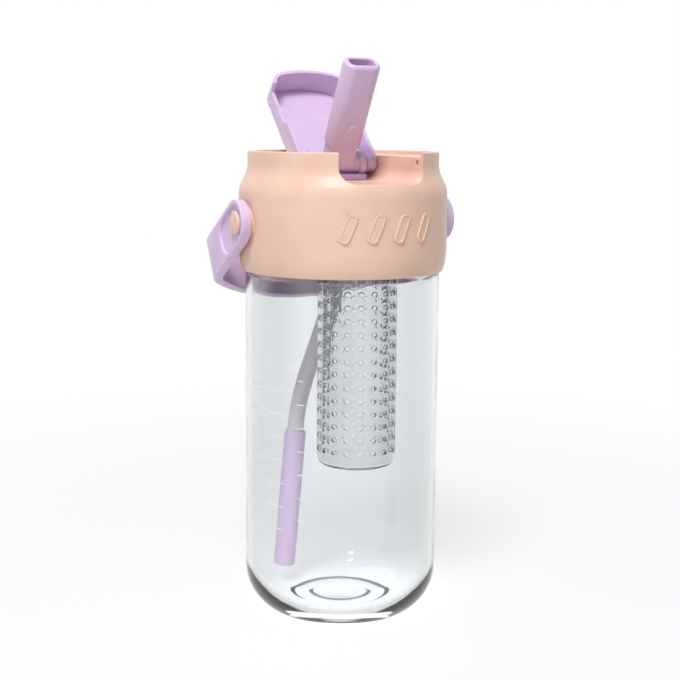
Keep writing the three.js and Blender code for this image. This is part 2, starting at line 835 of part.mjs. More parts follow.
function handleButton(side) {
  const headInner = armOuter - recessDepth + fit;
  const head = rod(
    buttonRadius,
    point(side * headInner, 0, handlePivot),
    point(side * (headInner + buttonHead), 0, handlePivot),
    medium,
  );
  const shank = rod(
    buttonShank,
    point(side * (armInner - buttonSeat), 0, handlePivot),
    point(side * (headInner + fit), 0, handlePivot),
  );
  return head.add(shank);
}

const collarTop = discBottom - slip;
const collarBottom = collarTop - collarHeight;
const collarBore = infuserBoss + slip;

// Clear ring with two bayonet slots that turn onto the boss's lugs.
function infuserCollar() {
  const ring = tube(collarBore, infuserRadius, collarBottom, collarTop, medium, 0, -infuserFront);
  const outer = infuserBoss + lugProud + slip;
  const spare = THREE.MathUtils.radToDeg(slip / infuserBoss);
  const slots = lugAngles.flatMap((angle) => {
    const start = angle - lugWidth / 2 - bayonetTurn - spare;
    const end = angle + lugWidth / 2 + spare;
    const lock = ringPart(infuserBoss, outer, start, end, 0, -infuserFront);
    const entry = ringPart(infuserBoss, outer, start, start + lugWidth + 2 * spare, 0, -infuserFront);
    return [
      raise(lock, lugBottom - slip, lugBottom + lugHeight + slip),
      raise(entry, lugBottom - slip, collarTop + slip),
    ];
  });
  return cut(ring, ...slots);
}

// Clear cup with rows of holes, clipped into the collar.
function infuserBasket() {
  const top = collarBottom - fit;
  const inner = infuserRadius - infuserWall;
  const neckOuter = collarBore - fit;
  const neckInner = neckOuter - infuserWall;
  const floor = infuserBottom + infuserFloor;
  const cup = lathe([
    [0, infuserBottom],
    ...arc(infuserRadius - infuserCorner, infuserBottom + infuserCorner, infuserCorner, -90, 0),
    [infuserRadius, top],
    [neckOuter, top],
    [neckOuter, top + infuserNeck],
    [neckInner, top + infuserNeck],
    [neckInner, top - infuserWall],
    [inner, top - infuserWall - infuserCorner],
    ...arc(inner - infuserWall, floor + infuserWall, infuserWall, 0, -90, 3),
    [0, floor],
  ], medium, 0, -infuserFront);
  const holes = [];
  for (let row = 0; row < holeRows; row += 1) {
    const height = infuserBottom + holeStart + row * holePitch;
    for (let i = 0; i < holesAround; i += 1) {
      const angle = ((i + (row % 2) / 2) / holesAround) * 2 * Math.PI;
      const outward = point(Math.cos(angle), Math.sin(angle), 0);
      const axis = point(0, -infuserFront, height);
      const start = axis.clone().addScaledVector(outward, inner - infuserWall);
      const end = axis.clone().addScaledVector(outward, infuserRadius + infuserWall);
      holes.push(rod(holeRadius, start, end, holeSides));
    }
  }
  return cut(cup, join(...holes));
}

const stemRadius = strawRadius - strawWall - fit;
const sleeveBottom = discBottom - spigotLength - stemWall;
const strawReach = bodyRadius - strawWallGap;
const strawSide = -strawReach * Math.sin(THREE.MathUtils.degToRad(strawTurn));
const strawBack = strawReach * Math.cos(THREE.MathUtils.degToRad(strawTurn));
const strawUpper = point(strawSide + strawLean, strawBack, strawHeight);
const strawLower = point(strawSide, strawBack, floorThickness + strawLift);
const strawDown = strawLower.clone().sub(strawUpper).normalize();

// A round bar along the stem's middle line, from inside the sleeve's socket down into the straw.
function stemBar(radius, spare) {
  const start = point(0, hingeBack, sleeveBottom);
  const pull = (start.z - strawUpper.z) * stemBendPull;
  const path = new THREE.CurvePath();
  path.add(new THREE.LineCurve3(point(0, hingeBack, sleeveBottom + stemWall + spare), start));
  path.add(new THREE.CubicBezierCurve3(
    start,
    point(0, hingeBack, start.z - pull),
    strawUpper.clone().addScaledVector(strawDown, -pull),
    strawUpper,
  ));
  path.add(new THREE.LineCurve3(
    strawUpper,
    strawUpper.clone().addScaledVector(strawDown, stemGrip + spare),
  ));
  const shape = new THREE.Shape();
  shape.absarc(0, 0, radius, 0, 2 * Math.PI);
  return solidFrom(new THREE.ExtrudeGeometry(shape, {
    steps: stemSteps,
    extrudePath: path,
    curveSegments: 4,
  }));
}

// Soft pale sleeve: a socket over the liner's spigot and a bent stem that plugs into the straw.
function strawSleeve() {
  const top = discBottom - spigotLength + sleeveUpper;
  const socket = rod(sleeveRadius, point(0, hingeBack, sleeveBottom), point(0, hingeBack, top));
  const seat = rod(
    spigotRadius + fit,
    point(0, hingeBack, sleeveBottom + stemWall),
    point(0, hingeBack, top + fit),
  );
  return cut(join(socket, stemBar(stemRadius, 0)), seat, stemBar(stemRadius - stemWall, fit));
}

// Lilac straw, straight and leaning a little, down to just above the floor.
function straw() {
  const tubeOutside = rod(strawRadius, strawLower, strawUpper);
  const tubeBore = rod(
    strawRadius - strawWall,
    strawLower.clone().addScaledVector(strawDown, fit),
    strawUpper.clone().addScaledVector(strawDown, -fit),
  );
  return cut(tubeOutside, tubeBore);
}

// Finishes
function finish(color, roughness, extra = {}) {
  return new THREE.MeshStandardMaterial({ color, roughness, metalness: 0, ...extra });
}
const peach = finish('#edc9b3', 0.42);
const lilac = finish('#cdb4dc', 0.4);
const clear = finish('#eef3f4', 0.06, { transparent: true, opacity: 0.3 });
const frosted = finish('#e9e6ea', 0.35, { transparent: true, opacity: 0.6 });
const silicone = finish('#ecebe8', 0.6);
const steel = finish('#b9bcc0', 0.3, { metalness: 1 });

const bottle = new THREE.Group();
const coverGroup = new THREE.Group();
const spoutGroup = new THREE.Group();
const handleGroup = new THREE.Group();
coverGroup.position.copy(hinge);
coverGroup.rotation.x = -THREE.MathUtils.degToRad(coverOpenAngle);
spoutGroup.position.copy(hinge);
spoutGroup.rotation.x = THREE.MathUtils.degToRad(spoutLean);
handleGroup.position.set(0, 0, handlePivot);
handleGroup.rotation.x = -THREE.MathUtils.degToRad(strapHang);
bottle.add(coverGroup, spoutGroup, handleGroup);

function add(parent, name, solid, material) {
  const mesh = new THREE.Mesh(geometryOf(solid), material);
  mesh.name = name;
  parent.add(mesh);
}

add(bottle, 'bottle_body', bottleBody(), clear);
add(bottle, 'lid_shell', lidShell(), peach);
add(bottle, 'lid_liner', lidLiner(), frosted);
add(bottle, 'lid_gasket', lidGasket(), silicone);
add(coverGroup, 'flip_cover', flipCover(), lilac);
add(spoutGroup, 'spout', spout(), lilac);
add(bottle, 'spout_seal', spoutSeal(), silicone);
add(bottle, 'hinge_pin_left', hingePin(-1), steel);
add(bottle, 'hinge_pin_right', hingePin(1), steel);
add(bottle, 'vent_valve', ventValve(), silicone);
add(handleGroup, 'handle_strap', handleStrap(), lilac);
add(bottle, 'handle_button_left', handleButton(-1), peach);
add(bottle, 'handle_button_right', handleButton(1), peach);
add(bottle, 'infuser_collar', infuserCollar(), clear);
add(bottle, 'infuser_basket', infuserBasket(), clear);
add(bottle, 'straw_sleeve', strawSleeve(), frosted);
add(bottle, 'straw', straw(), lilac);

export default bottle;
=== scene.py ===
# %% [markdown]
# # A tea infuser bottle
#
# The bottle is a clear turned body with a satin peach lid. A lilac cover flips back to let a folding
# spout stand up, a lilac loop hangs from the lid's sides, and a perforated cup and a straw hang inside.
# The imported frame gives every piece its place, so this lesson only has to model the looks.

import math

import bmesh
import bpy
from mathutils import Matrix, Vector
from mathutils.geometry import interpolate_bezier


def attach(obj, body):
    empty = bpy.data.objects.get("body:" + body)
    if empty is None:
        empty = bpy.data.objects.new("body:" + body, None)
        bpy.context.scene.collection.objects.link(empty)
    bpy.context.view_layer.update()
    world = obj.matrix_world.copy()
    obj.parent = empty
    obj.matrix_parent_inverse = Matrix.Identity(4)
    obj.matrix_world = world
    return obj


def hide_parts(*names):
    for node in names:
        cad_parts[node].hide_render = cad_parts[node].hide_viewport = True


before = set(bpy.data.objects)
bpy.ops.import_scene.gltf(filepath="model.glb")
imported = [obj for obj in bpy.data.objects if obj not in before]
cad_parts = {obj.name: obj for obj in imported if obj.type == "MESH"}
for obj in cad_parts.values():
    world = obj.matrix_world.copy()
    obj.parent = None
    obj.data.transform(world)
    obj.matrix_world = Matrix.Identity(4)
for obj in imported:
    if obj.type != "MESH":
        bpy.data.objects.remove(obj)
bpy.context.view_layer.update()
print("nodes:", ", ".join(sorted(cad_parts)))

# %% [markdown]
# ## Sizes
#
# These are the frame's own sizes in millimetres, repeated here because a smooth lid or bottle has to meet
# the same radii and heights as the solids. Blender works in metres, so `mm` scales them at the last moment.

# %% Shared sizes
mm = 0.001
same_place = 1e-6  # metres; points nearer than this are one point
body_radius = 40.9
body_height = 148.7
skirt_radius = 43.7
crown_radius = 40.0
lid_bottom = 147.2
rim = 196.7
deck = 194.7
channel_floor = 184.3
hinge = Vector((0, 7.5, 191.5))
handle_pivot = Vector((0, 0, 167.7))
infuser_axis = Vector((0, -14.8, 0))
print("rim at", rim, "mm, hinge at", tuple(hinge))

# %% [markdown]
# ## Materials
#
# Everything here is moulded plastic, so each finish starts from a Principled shader. Moulded plastic is never
# one flat colour: the pigment is a little uneven and the mould leaves a fine grain, which noise on Object
# coordinates can draw at a real size.


# %% Material helpers
def linear(code):
    """Turns an sRGB hex code into the linear colour that the shader reads."""
    parts = [int(code[i:i + 2], 16) / 255 for i in (1, 3, 5)]
    return (*[p / 12.92 if p <= 0.04045 else ((p + 0.055) / 1.055) ** 2.4 for p in parts], 1)


def add(tree, kind, inputs=None, **settings):
    """Adds a node with its settings, and sets or links its inputs."""
    node = tree.nodes.new(kind)
    for key, value in settings.items():
        setattr(node, key, value)
    for key, value in (inputs or {}).items():
        if isinstance(value, bpy.types.NodeSocket):
            tree.links.new(value, node.inputs[key])
        else:
            node.inputs[key].default_value = value
    return node


def fresh(name):
    """A new material with an empty node tree."""
    material = bpy.data.materials.new(name)
    material.use_nodes = True
    material.node_tree.nodes.clear()
    return material, material.node_tree


# %% [markdown]
# ### Satin polypropylene
#
# The lid, cover, spout, loop and straw are injection-moulded polypropylene with a fine spark-eroded mould
# texture. To the eye that is a soft, broad highlight over a milky colour. The mould's grain is about a tenth
# of a millimetre, too fine to show, so it is drawn at half a millimetre and kept very low.


# %% Satin polypropylene in peach and lilac
polypropylene_ior = 1.49


def satin_polypropylene(name, light, deep, roughness, milky):
    """Pigment clouds of two tones, a grain coarse enough to show, and light that scatters a little way in."""
    cloud_width, grain_width, grain_height, scatter = 14 * mm, 0.5 * mm, 0.1 * mm, 1.5 * mm
    material, tree = fresh(name)
    place = add(tree, "ShaderNodeTexCoord").outputs["Object"]
    clouds = add(tree, "ShaderNodeTexNoise", {"Vector": place, "Scale": 1 / cloud_width, "Detail": 3})
    tone = add(tree, "ShaderNodeValToRGB", {"Fac": clouds.outputs["Fac"]})
    tone.color_ramp.elements[0].position = 0.3
    tone.color_ramp.elements[0].color = linear(deep)
    tone.color_ramp.elements[1].position = 0.7
    tone.color_ramp.elements[1].color = linear(light)
    grain = add(tree, "ShaderNodeTexNoise", {"Vector": place, "Scale": 1 / grain_width, "Detail": 2})
    bump = add(tree, "ShaderNodeBump", {
        "Height": grain.outputs["Fac"], "Strength": 0.05, "Distance": grain_height})
    polish = add(tree, "ShaderNodeMapRange", {
        "Value": clouds.outputs["Fac"], "To Min": roughness - 0.04, "To Max": roughness + 0.05})
    shader = add(tree, "ShaderNodeBsdfPrincipled", {
        "Base Color": tone.outputs["Color"], "Roughness": polish.outputs["Result"],
        "Normal": bump.outputs["Normal"], "IOR": polypropylene_ior, "Subsurface Weight": milky,
        "Subsurface Radius": (1.0, 0.8, 0.9), "Subsurface Scale": scatter,
    })
    add(tree, "ShaderNodeOutputMaterial", {"Surface": shader.outputs["BSDF"]})
    return material


peach = satin_polypropylene("peach_satin_polypropylene", "#F0CBB8", "#EBC3AF", 0.34, 0.0)
lilac = satin_polypropylene("lilac_satin_polypropylene", "#DEC7E7", "#D6BDE0", 0.28, 0.15)
print("satin finishes:", peach.name, lilac.name)

# %% [markdown]
# ### Clear copolyester
#
# The body and the infuser are blown and moulded copolyester: clear as glass, a little softer in its gloss,
# with slow waves in the wall from the mould. One Principled shader with full transmission gives refraction
# and shine together, and a wide, very low bump gives the waves.


# %% Clear copolyester
def clear_copolyester(name, tint, waves):
    """Slow waves in the wall, and the faint dull patches that handling leaves."""
    wave_length, wave_height, patch_width, copolyester_ior = 18 * mm, 0.4 * mm, 6 * mm, 1.54
    material, tree = fresh(name)
    place = add(tree, "ShaderNodeTexCoord").outputs["Object"]
    ripple = add(tree, "ShaderNodeTexNoise", {"Vector": place, "Scale": 1 / wave_length, "Detail": 1})
    bump = add(tree, "ShaderNodeBump", {
        "Height": ripple.outputs["Fac"], "Strength": waves, "Distance": wave_height})
    patches = add(tree, "ShaderNodeTexNoise", {"Vector": place, "Scale": 1 / patch_width, "Detail": 4})
    gloss = add(tree, "ShaderNodeMapRange", {"Value": patches.outputs["Fac"], "To Min": 0.0, "To Max": 0.05})
    shader = add(tree, "ShaderNodeBsdfPrincipled", {
        "Base Color": linear(tint), "Roughness": gloss.outputs["Result"], "Normal": bump.outputs["Normal"],
        "Transmission Weight": 1.0, "IOR": copolyester_ior,
    })
    add(tree, "ShaderNodeOutputMaterial", {"Surface": shader.outputs["BSDF"]})
    return material


clear_body = clear_copolyester("clear_copolyester", "#F4F6F7", 0.12)
clear_cup = clear_copolyester("clear_copolyester_cup", "#F1F2F4", 0.05)
print("clear finishes:", clear_body.name, clear_cup.name)

# %% [markdown]
# ### Natural plastic, silicone, steel and ink
#
# The hidden pieces are seen at the poses where the lid lifts, so they get their finishes too: milky natural
# polypropylene on the inner cap and straw sleeve, matt silicone on the seals, drawn steel on the hinge pins,
# and a thin white ink for the printed scale.


# %% Soft and milky finishes
def milky_plastic(name, light, deep, roughness, ior, through):
    """Cloudy patches of two tones under a dusty matt grain, which is drawn coarse enough to show."""
    cloud_width, grain_width, grain_height = 5 * mm, 0.4 * mm, 0.1 * mm
    material, tree = fresh(name)
    place = add(tree, "ShaderNodeTexCoord").outputs["Object"]
    clouds = add(tree, "ShaderNodeTexNoise", {"Vector": place, "Scale": 1 / cloud_width, "Detail": 3})
    tone = add(tree, "ShaderNodeValToRGB", {"Fac": clouds.outputs["Fac"]})
    tone.color_ramp.elements[0].color = linear(deep)
    tone.color_ramp.elements[1].color = linear(light)
    grain = add(tree, "ShaderNodeTexNoise", {"Vector": place, "Scale": 1 / grain_width})
    bump = add(tree, "ShaderNodeBump", {
        "Height": grain.outputs["Fac"], "Strength": 0.06, "Distance": grain_height})
    shader = add(tree, "ShaderNodeBsdfPrincipled", {
        "Base Color": tone.outputs["Color"], "Normal": bump.outputs["Normal"],
        "Roughness": roughness, "IOR": ior, "Transmission Weight": through,
    })
    add(tree, "ShaderNodeOutputMaterial", {"Surface": shader.outputs["BSDF"]})
    return material


silicone_ior, ink_ior = 1.41, 1.5
natural = milky_plastic("natural_polypropylene", "#F2EEF1", "#E6E0E6", 0.4, polypropylene_ior, 0.12)
white_silicone = milky_plastic("white_silicone", "#F0EDEB", "#E4E0DE", 0.6, silicone_ior, 0.0)
lilac_silicone = milky_plastic("lilac_silicone", "#BFA3CC", "#B497C3", 0.55, silicone_ior, 0.0)
ink = milky_plastic("white_screen_ink", "#F6F6F6", "#E9E9EA", 0.6, ink_ior, 0.0)
print("soft finishes:", natural.name, white_silicone.name, lilac_silicone.name, ink.name)

# %% Drawn stainless steel
steel, tree = fresh("drawn_stainless_steel")
place = add(tree, "ShaderNodeTexCoord").outputs["Object"]
scratch_gap, stretch = 0.2 * mm, 0.05  # drawing leaves fine scratches that run along the pin
along = add(tree, "ShaderNodeMapping", {"Vector": place, "Scale": (stretch, 1, 1)})
lines = add(tree, "ShaderNodeTexNoise", {"Vector": along.outputs["Vector"], "Scale": 1 / scratch_gap})
sheen = add(tree, "ShaderNodeMapRange", {"Value": lines.outputs["Fac"], "To Min": 0.2, "To Max": 0.4})
shader = add(tree, "ShaderNodeBsdfPrincipled", {
    "Base Color": linear("#C6C8CB"), "Metallic": 1.0, "Roughness": sheen.outputs["Result"],
})
add(tree, "ShaderNodeOutputMaterial", {"Surface": shader.outputs["BSDF"]})
print("metal finish:", steel.name)

# %% [markdown]
# ## Turned shapes
#
# Most of the bottle is round, so its pieces are turned like work on a lathe: a few corner points make an
# outline, a vertex bevel rounds the corners, and a full spin sweeps it round. Every finished shape becomes an
# object in the same way, and gets its shading, finish and body.


# %% Outlines and turned shapes
def rounded(shape, parts, radius, affect="EDGES", segments=5):
    """Rounds some edges or corner points of a shape."""
    bmesh.ops.bevel(shape, geom=parts, offset=radius * mm, offset_type="OFFSET", affect=affect,
                    segments=segments, profile=0.5, material=-1)


def outline(corners, closed=False, segments=6):
    """Draws a wire in the XZ plane from corners of (radius, height, rounding) and rounds them."""
    shape = bmesh.new()
    points = [shape.verts.new((across * mm, 0, up * mm)) for across, up, _ in corners]
    for start, end in zip(points, points[1:] + points[:1] if closed else points[1:]):
        shape.edges.new((start, end))
    for point, (_, _, rounding) in zip(points, corners):
        if rounding:
            rounded(shape, [point], rounding, "VERTICES", segments)
    return shape


def turned(corners, steps=128, closed=False, segments=6):
    """Spins an outline once round the Z axis and closes the seam and the poles."""
    shape = outline(corners, closed, segments)
    bmesh.ops.spin(shape, geom=shape.verts[:] + shape.edges[:], axis=(0, 0, 1), cent=(0, 0, 0),
                   angle=math.tau, steps=steps, use_merge=True)
    bmesh.ops.remove_doubles(shape, verts=shape.verts, dist=same_place)
    bmesh.ops.recalc_face_normals(shape, faces=shape.faces)
    return shape


# %% Objects from shapes
def together(*shapes):
    """Gathers several shapes into one."""
    whole = bmesh.new()
    carrier = bpy.data.meshes.new("carrier")
    for shape in shapes:
        shape.to_mesh(carrier)
        whole.from_mesh(carrier)
        shape.free()
    bpy.data.meshes.remove(carrier)
    return whole


def as_object(name, shape):
    """Makes an object of a finished shape, with its place in its mesh."""
    mesh = bpy.data.meshes.new(name)
    shape.to_mesh(mesh)
    shape.free()
    piece = bpy.data.objects.new(name, mesh)
    bpy.context.scene.collection.objects.link(piece)
    return piece


def dress(piece, material, body, slot, *nodes, sharp=38):
    """Gives a finished piece its shading, material, body and the nodes it stands for. The slot is not used.
    """
    piece.data.shade_smooth()
    piece.data.set_sharp_from_angle(angle=math.radians(sharp))
    piece.data.materials.clear()
    piece.data.materials.append(material)
    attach(piece, body)
    if nodes:
        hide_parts(*nodes)
    print(piece.name, len(piece.data.polygons), "faces")


# %% [markdown]
# ## The clear body
#
# The real body is blown against a mould, with a thick foot that bends light. It could be a plain cylinder,
# but the wall's inner face and the rounded foot are what make clear plastic read as clear plastic, so one
# outline runs up the outside, over the neck and down the inside, and is spun into a closed wall.

# %% Turn the body
wall, floor_top = 2.6, 4.5
neck, neck_bore, neck_top = 35.0, 32.6, 169.9
body_inside = body_radius - wall
# From the pad under the foot, up the outside, over the neck and down the inside: radius, height, rounding.
body_shape = turned([
    (0, 0.6, 0), (12, 0.6, 0.8), (13.2, 1.9, 0.8), (20.6, 1.9, 0.8), (22, 0, 1.0),
    (body_radius, 0, 19), (body_radius, body_height, 3), (neck, body_height + 4.2, 1.5),
    (neck, neck_top, 0.8), (neck_bore, neck_top, 0.8), (neck_bore, body_height + 2.9, 1.5),
    (body_inside, body_height - 1.3, 3), (body_inside, floor_top, 16), (15, floor_top, 3), (0, 6.2, 0),
], segments=10)
print("body wall", wall, "mm,", len(body_shape.faces), "faces")

# %% [markdown]
# The screw thread on the neck is one ridge that climbs as it goes round. A spin with a rising step, `dvec`,
# sweeps a small four-cornered section along that path.

# %% Add the screw thread
root, crest = neck - 0.4, neck + 1.1
turns, pitch, steps = 1.25, 6.0, 120
ridge = outline([(root, 158.4, 0), (crest, 158.9, 0), (crest, 160.1, 0), (root, 160.6, 0)], closed=True)
bmesh.ops.spin(ridge, geom=ridge.verts[:] + ridge.edges[:], axis=(0, 0, 1), cent=(0, 0, 0),
               dvec=(0, 0, turns * pitch * mm / steps), angle=turns * math.tau, steps=steps)
bmesh.ops.holes_fill(ridge, edges=ridge.edges)
bmesh.ops.recalc_face_normals(ridge, faces=ridge.faces)
bottle = as_object("clear_bottle", together(body_shape, ridge))
dress(bottle, clear_body, "bottle", "clear_plastic", "bottle_body", sharp=50)
bottle.visible_shadow = False  # clear plastic lets the lamps through to what hangs inside

# %% [markdown]
# ## The printed scale
#
# A screen-printed white scale runs up the left of the body: evenly spaced lines, short ticks between them
# and a number above. A printed line has almost no thickness, so each one is a strip laid a twentieth of a
# millimetre outside the wall. A strip is made flat and then wrapped on the cylinder.


# %% Moves and turns
def moved(shape, place):
    """Moves a whole shape by a matrix whose lengths are metres."""
    bmesh.ops.transform(shape, matrix=place, verts=shape.verts)
    return shape


def at(x, y, z):
    """A move by millimetres."""
    return Matrix.Translation(Vector((x, y, z)) * mm)


def tipped(angle, axis):
    """A turn by degrees about the X, Y or Z axis."""
    return Matrix.Rotation(math.radians(angle), 4, axis)


# %% Wrap flat shapes on the body
def wrap(shape, radius, angle):
    """Bends a flat shape in X and Z round the Z axis. X runs along the wall from the given angle."""
    for vert in shape.verts:
        bow = angle + vert.co.x / (radius * mm)
        reach = radius * mm - vert.co.y
        vert.co.x = math.sin(bow) * reach
        vert.co.y = -math.cos(bow) * reach
    return shape


def strip(width, height, x, z):
    """A flat printed strip, cut finely enough to bend."""
    shape = bmesh.new()
    size = Matrix.Diagonal((width * mm / 2, height * mm / 2, 1, 1))
    bmesh.ops.create_grid(shape, x_segments=16, y_segments=1, size=1.0,
                          matrix=at(x, 0, z) @ tipped(90, "X") @ size)
    return shape


# %% Draw the lines, the ticks and the number
line_count, lowest_line, line_gap, beside = 7, 43.6, 9.6, 9.8
marks = []
for number in range(line_count):
    height = lowest_line + number * line_gap
    marks.append(strip(22.4, 0.45, -beside, height))
    marks.append(strip(3, 0.4, beside, height + line_gap / 2))
figures = bpy.data.curves.new("number", "FONT")
figures.body = "400"
figures.size = 3.6 * mm
figures.align_x = "CENTER"
writing = bpy.data.objects.new("number", figures)
bpy.context.scene.collection.objects.link(writing)
bpy.context.view_layer.update()
flat = bmesh.new()
flat.from_mesh(writing.to_mesh())
bpy.data.objects.remove(writing)
bmesh.ops.triangulate(flat, faces=flat.faces)
marks.append(moved(flat, at(6.6, 0, 110.5) @ tipped(90, "X")))
print("marks drawn:", len(marks))

# %% Print the scale
scale_angle, ink_thickness = -62, 0.05
scale_shape = wrap(together(*marks), body_radius + ink_thickness, math.radians(scale_angle))
bmesh.ops.recalc_face_normals(scale_shape, faces=scale_shape.faces)
printed = as_object("printed_scale", scale_shape)
dress(printed, ink, "bottle", "clear_plastic")

# %% [markdown]
# ## The peach lid
#
# The lid is one moulding: a skirt, a soft shoulder, a crown and a thin rim around a sunk deck. Its outline is
# spun like the body's. The spout's channel isn't round and cuts through deck and rim, so it is a separate
# rounded bar, taken away with a boolean, and a bevel breaks the edges that the cut leaves.

# %% Turn the lid
lid_inside, rim_inside, ceiling = 41.5, 38.1, 182.4
# From the skirt's lower edge, up the outside, over the rim, across the deck and down the inside.
lid_shape = turned([
    (lid_inside, lid_bottom, 0.3), (42.1, lid_bottom, 0.4), (43.0, 149.4, 2), (skirt_radius, 154.4, 3),
    (skirt_radius, 181.4, 2.4), (crown_radius, 189.0, 2.4), (crown_radius, rim, 0.6), (rim_inside, rim, 0.5),
    (rim_inside, deck, 0.5), (0, deck, 0), (0, ceiling, 0), (37.5, ceiling, 1), (lid_inside, 179, 1),
], steps=180, segments=8)
boundary = [edge for edge in lid_shape.edges if edge.is_boundary]
bmesh.ops.bridge_loops(lid_shape, edges=boundary)
bmesh.ops.recalc_face_normals(lid_shape, faces=lid_shape.faces)
lid = as_object("peach_lid", lid_shape)
print("lid outline spun,", len(lid.data.polygons), "faces")


# %% Blocks and cuts
def block(size, corner, edges=None, segments=5):
    """A box of (x, y, z) millimetres whose edges along one axis, or all of them, are rounded."""
    shape = bmesh.new()
    bmesh.ops.create_cube(shape, size=mm, matrix=Matrix.Diagonal((*size, 1)))
    chosen = shape.edges[:]
    if edges is not None:
        chosen = [e for e in chosen if abs((e.verts[0].co - e.verts[1].co).normalized()[edges]) > 0.9]
    rounded(shape, chosen, corner, segments=segments)
    return shape


def settle(piece):
    """Bakes the piece's modifiers into its mesh."""
    bpy.context.view_layer.update()
    baked = bpy.data.meshes.new_from_object(piece.evaluated_get(bpy.context.evaluated_depsgraph_get()))
    plain = piece.data
    piece.modifiers.clear()
    piece.data = baked
    bpy.data.meshes.remove(plain)


def carve(piece, shape, operation="DIFFERENCE"):
    """Cuts a shape out of a piece, adds it, or keeps only what lies in both."""
    cutter = as_object("cutter", shape)
    step = piece.modifiers.new("carve", "BOOLEAN")
    step.operation = operation
    step.solver = "EXACT"
    step.object = cutter
    settle(piece)
    mesh = cutter.data
    bpy.data.objects.remove(cutter)
    bpy.data.meshes.remove(mesh)


def soften(piece, width, angle=40, segments=3):
    """Breaks every sharp edge, as a mould does."""
    step = piece.modifiers.new("soft edges", "BEVEL")
    step.width = width * mm
    step.segments = segments
    step.limit_method = "ANGLE"
    step.angle_limit = math.radians(angle)
    settle(piece)


# %% Cut the spout's channel
channel_length, channel_width, channel_back, cutter_height = 70, 37, 21.5, 30
bar = block((channel_width, channel_length, cutter_height), 6, edges=1, segments=8)
carve(lid, moved(bar, at(0, channel_back - channel_length / 2, channel_floor + cutter_height / 2)))
# A recess a quarter of a millimetre deeper, in the middle of the channel's floor and walls.
recess_depth, recess_middle = 0.25, -16.5
recess = block((channel_width + 2 * recess_depth, 21, cutter_height), 6 + recess_depth, edges=1, segments=8)
carve(lid, moved(recess, at(0, recess_middle, channel_floor - recess_depth + cutter_height / 2)))
# The dimple that the cover's bump clicks into.
dimple = bmesh.new()
bmesh.ops.create_uvsphere(dimple, u_segments=24, v_segments=12, radius=1.3 * mm,
                          matrix=at(19.0, -30.6, 192.4))
carve(lid, dimple)
soften(lid, 0.5, angle=50)
print("channel cut,", len(lid.data.polygons), "faces")

# %% [markdown]
# Four low leaning marks on the front give the fingers something to turn the lid by, and a round boss on each
# side carries the loop. A mark is a small rounded bar, bent to the skirt so that it stands out evenly.

# %% Bend the grip marks
mark_size, mark_corner, bend_step = (4.4, 2.8, 12), 2.19, 0.9
mark_height, mark_lean, mark_spacing, mark_sunk = 167.2, 22, 14.7, 0.95
raised = []
for place in (-1.5, -0.5, 0.5, 1.5):
    mark = block(mark_size, mark_corner, edges=1, segments=8)
    face = min(mark.faces, key=lambda side: side.calc_center_median().y)
    # A soft edge, a flat border and a sunk middle.
    for border, lift in ((0.15, 0.15), (0.5, 0), (0.2, -0.25)):
        bmesh.ops.inset_region(mark, faces=[face], thickness=border * mm, depth=lift * mm,
                               use_even_offset=True)
    moved(mark, at(0, mark_sunk, mark_height) @ tipped(mark_lean, "Y"))
    # Upright cuts let the flat face bend.
    for cut in range(-4, 5):
        bmesh.ops.bisect_plane(mark, geom=mark.verts[:] + mark.edges[:] + mark.faces[:],
                               plane_co=(cut * bend_step * mm, 0, 0), plane_no=(1, 0, 0))
    raised.append(wrap(mark, skirt_radius, math.radians(mark_spacing * place)))
print("grip marks:", len(raised))

# %% Add the marks and the bosses to the lid
boss_radius, boss_depth, boss_start = 7.5, 4.6, 39.8
for side in (-1, 1):
    corners = [(0, 0, 0), (boss_radius, 0, 0), (boss_radius, boss_depth, 0.3), (0, boss_depth, 0)]
    place = at(side * boss_start, 0, handle_pivot.z) @ tipped(90 * side, "Y")
    raised.append(moved(turned(corners, steps=64), place))
details = together(*raised)
bmesh.ops.recalc_face_normals(details, faces=details.faces)
details.from_mesh(lid.data)
details.to_mesh(lid.data)
details.free()
dress(lid, peach, "lid", "peach_plastic", "lid_shell", sharp=30)

# %% [markdown]
# ## The flip cover
#
# The cover is a thin lilac tray that closes over the spout: a plate whose front follows the lid's round side,
# walls that drop from it, and two ears on the hinge. It is drawn shut, with the hinge at the origin, and then
# swung open by the same angle as the frame's, so its place in the mesh is right.


# %% Draw the cover's plate
def tray_plate(half, radius, back, height, corner):
    """A flat plate with straight sides, a front that follows a round, and rounded front corners."""
    front = -math.sqrt(radius ** 2 - half ** 2)
    corner_room = 6
    bow = math.asin(half / radius) - corner_room / radius
    turns = [bow * (step / 7 - 1) for step in range(15)]
    arc = [(math.sin(turn) * radius, -math.cos(turn) * radius) for turn in turns]
    sheet = [(-half, back + hinge.y), (-half, front), *arc, (half, front), (half, back + hinge.y)]
    shape = bmesh.new()
    points = [shape.verts.new(Vector((x, y - hinge.y, height)) * mm) for x, y in sheet]
    shape.faces.new(points)
    rounded(shape, [points[1], points[-2]], corner, "VERTICES", segments=8)
    return shape


cover_half, cover_top, cover_back, cover_wall = 17.8, 6.3, 1.4, 1.6
cover_shape = tray_plate(cover_half, skirt_radius, cover_back, cover_top, 5)
plate = cover_shape.faces[:][0]
print("cover plate", 2 * cover_half, "mm wide")


# %% Drop the cover's walls
def pulled(shape, made, *by):
    """Moves the points that an extrusion has just made, by millimetres along X, Y and Z."""
    points = [part for part in made["geom"] if isinstance(part, bmesh.types.BMVert)]
    bmesh.ops.translate(shape, vec=tuple(step * mm for step in by), verts=points)
    return points


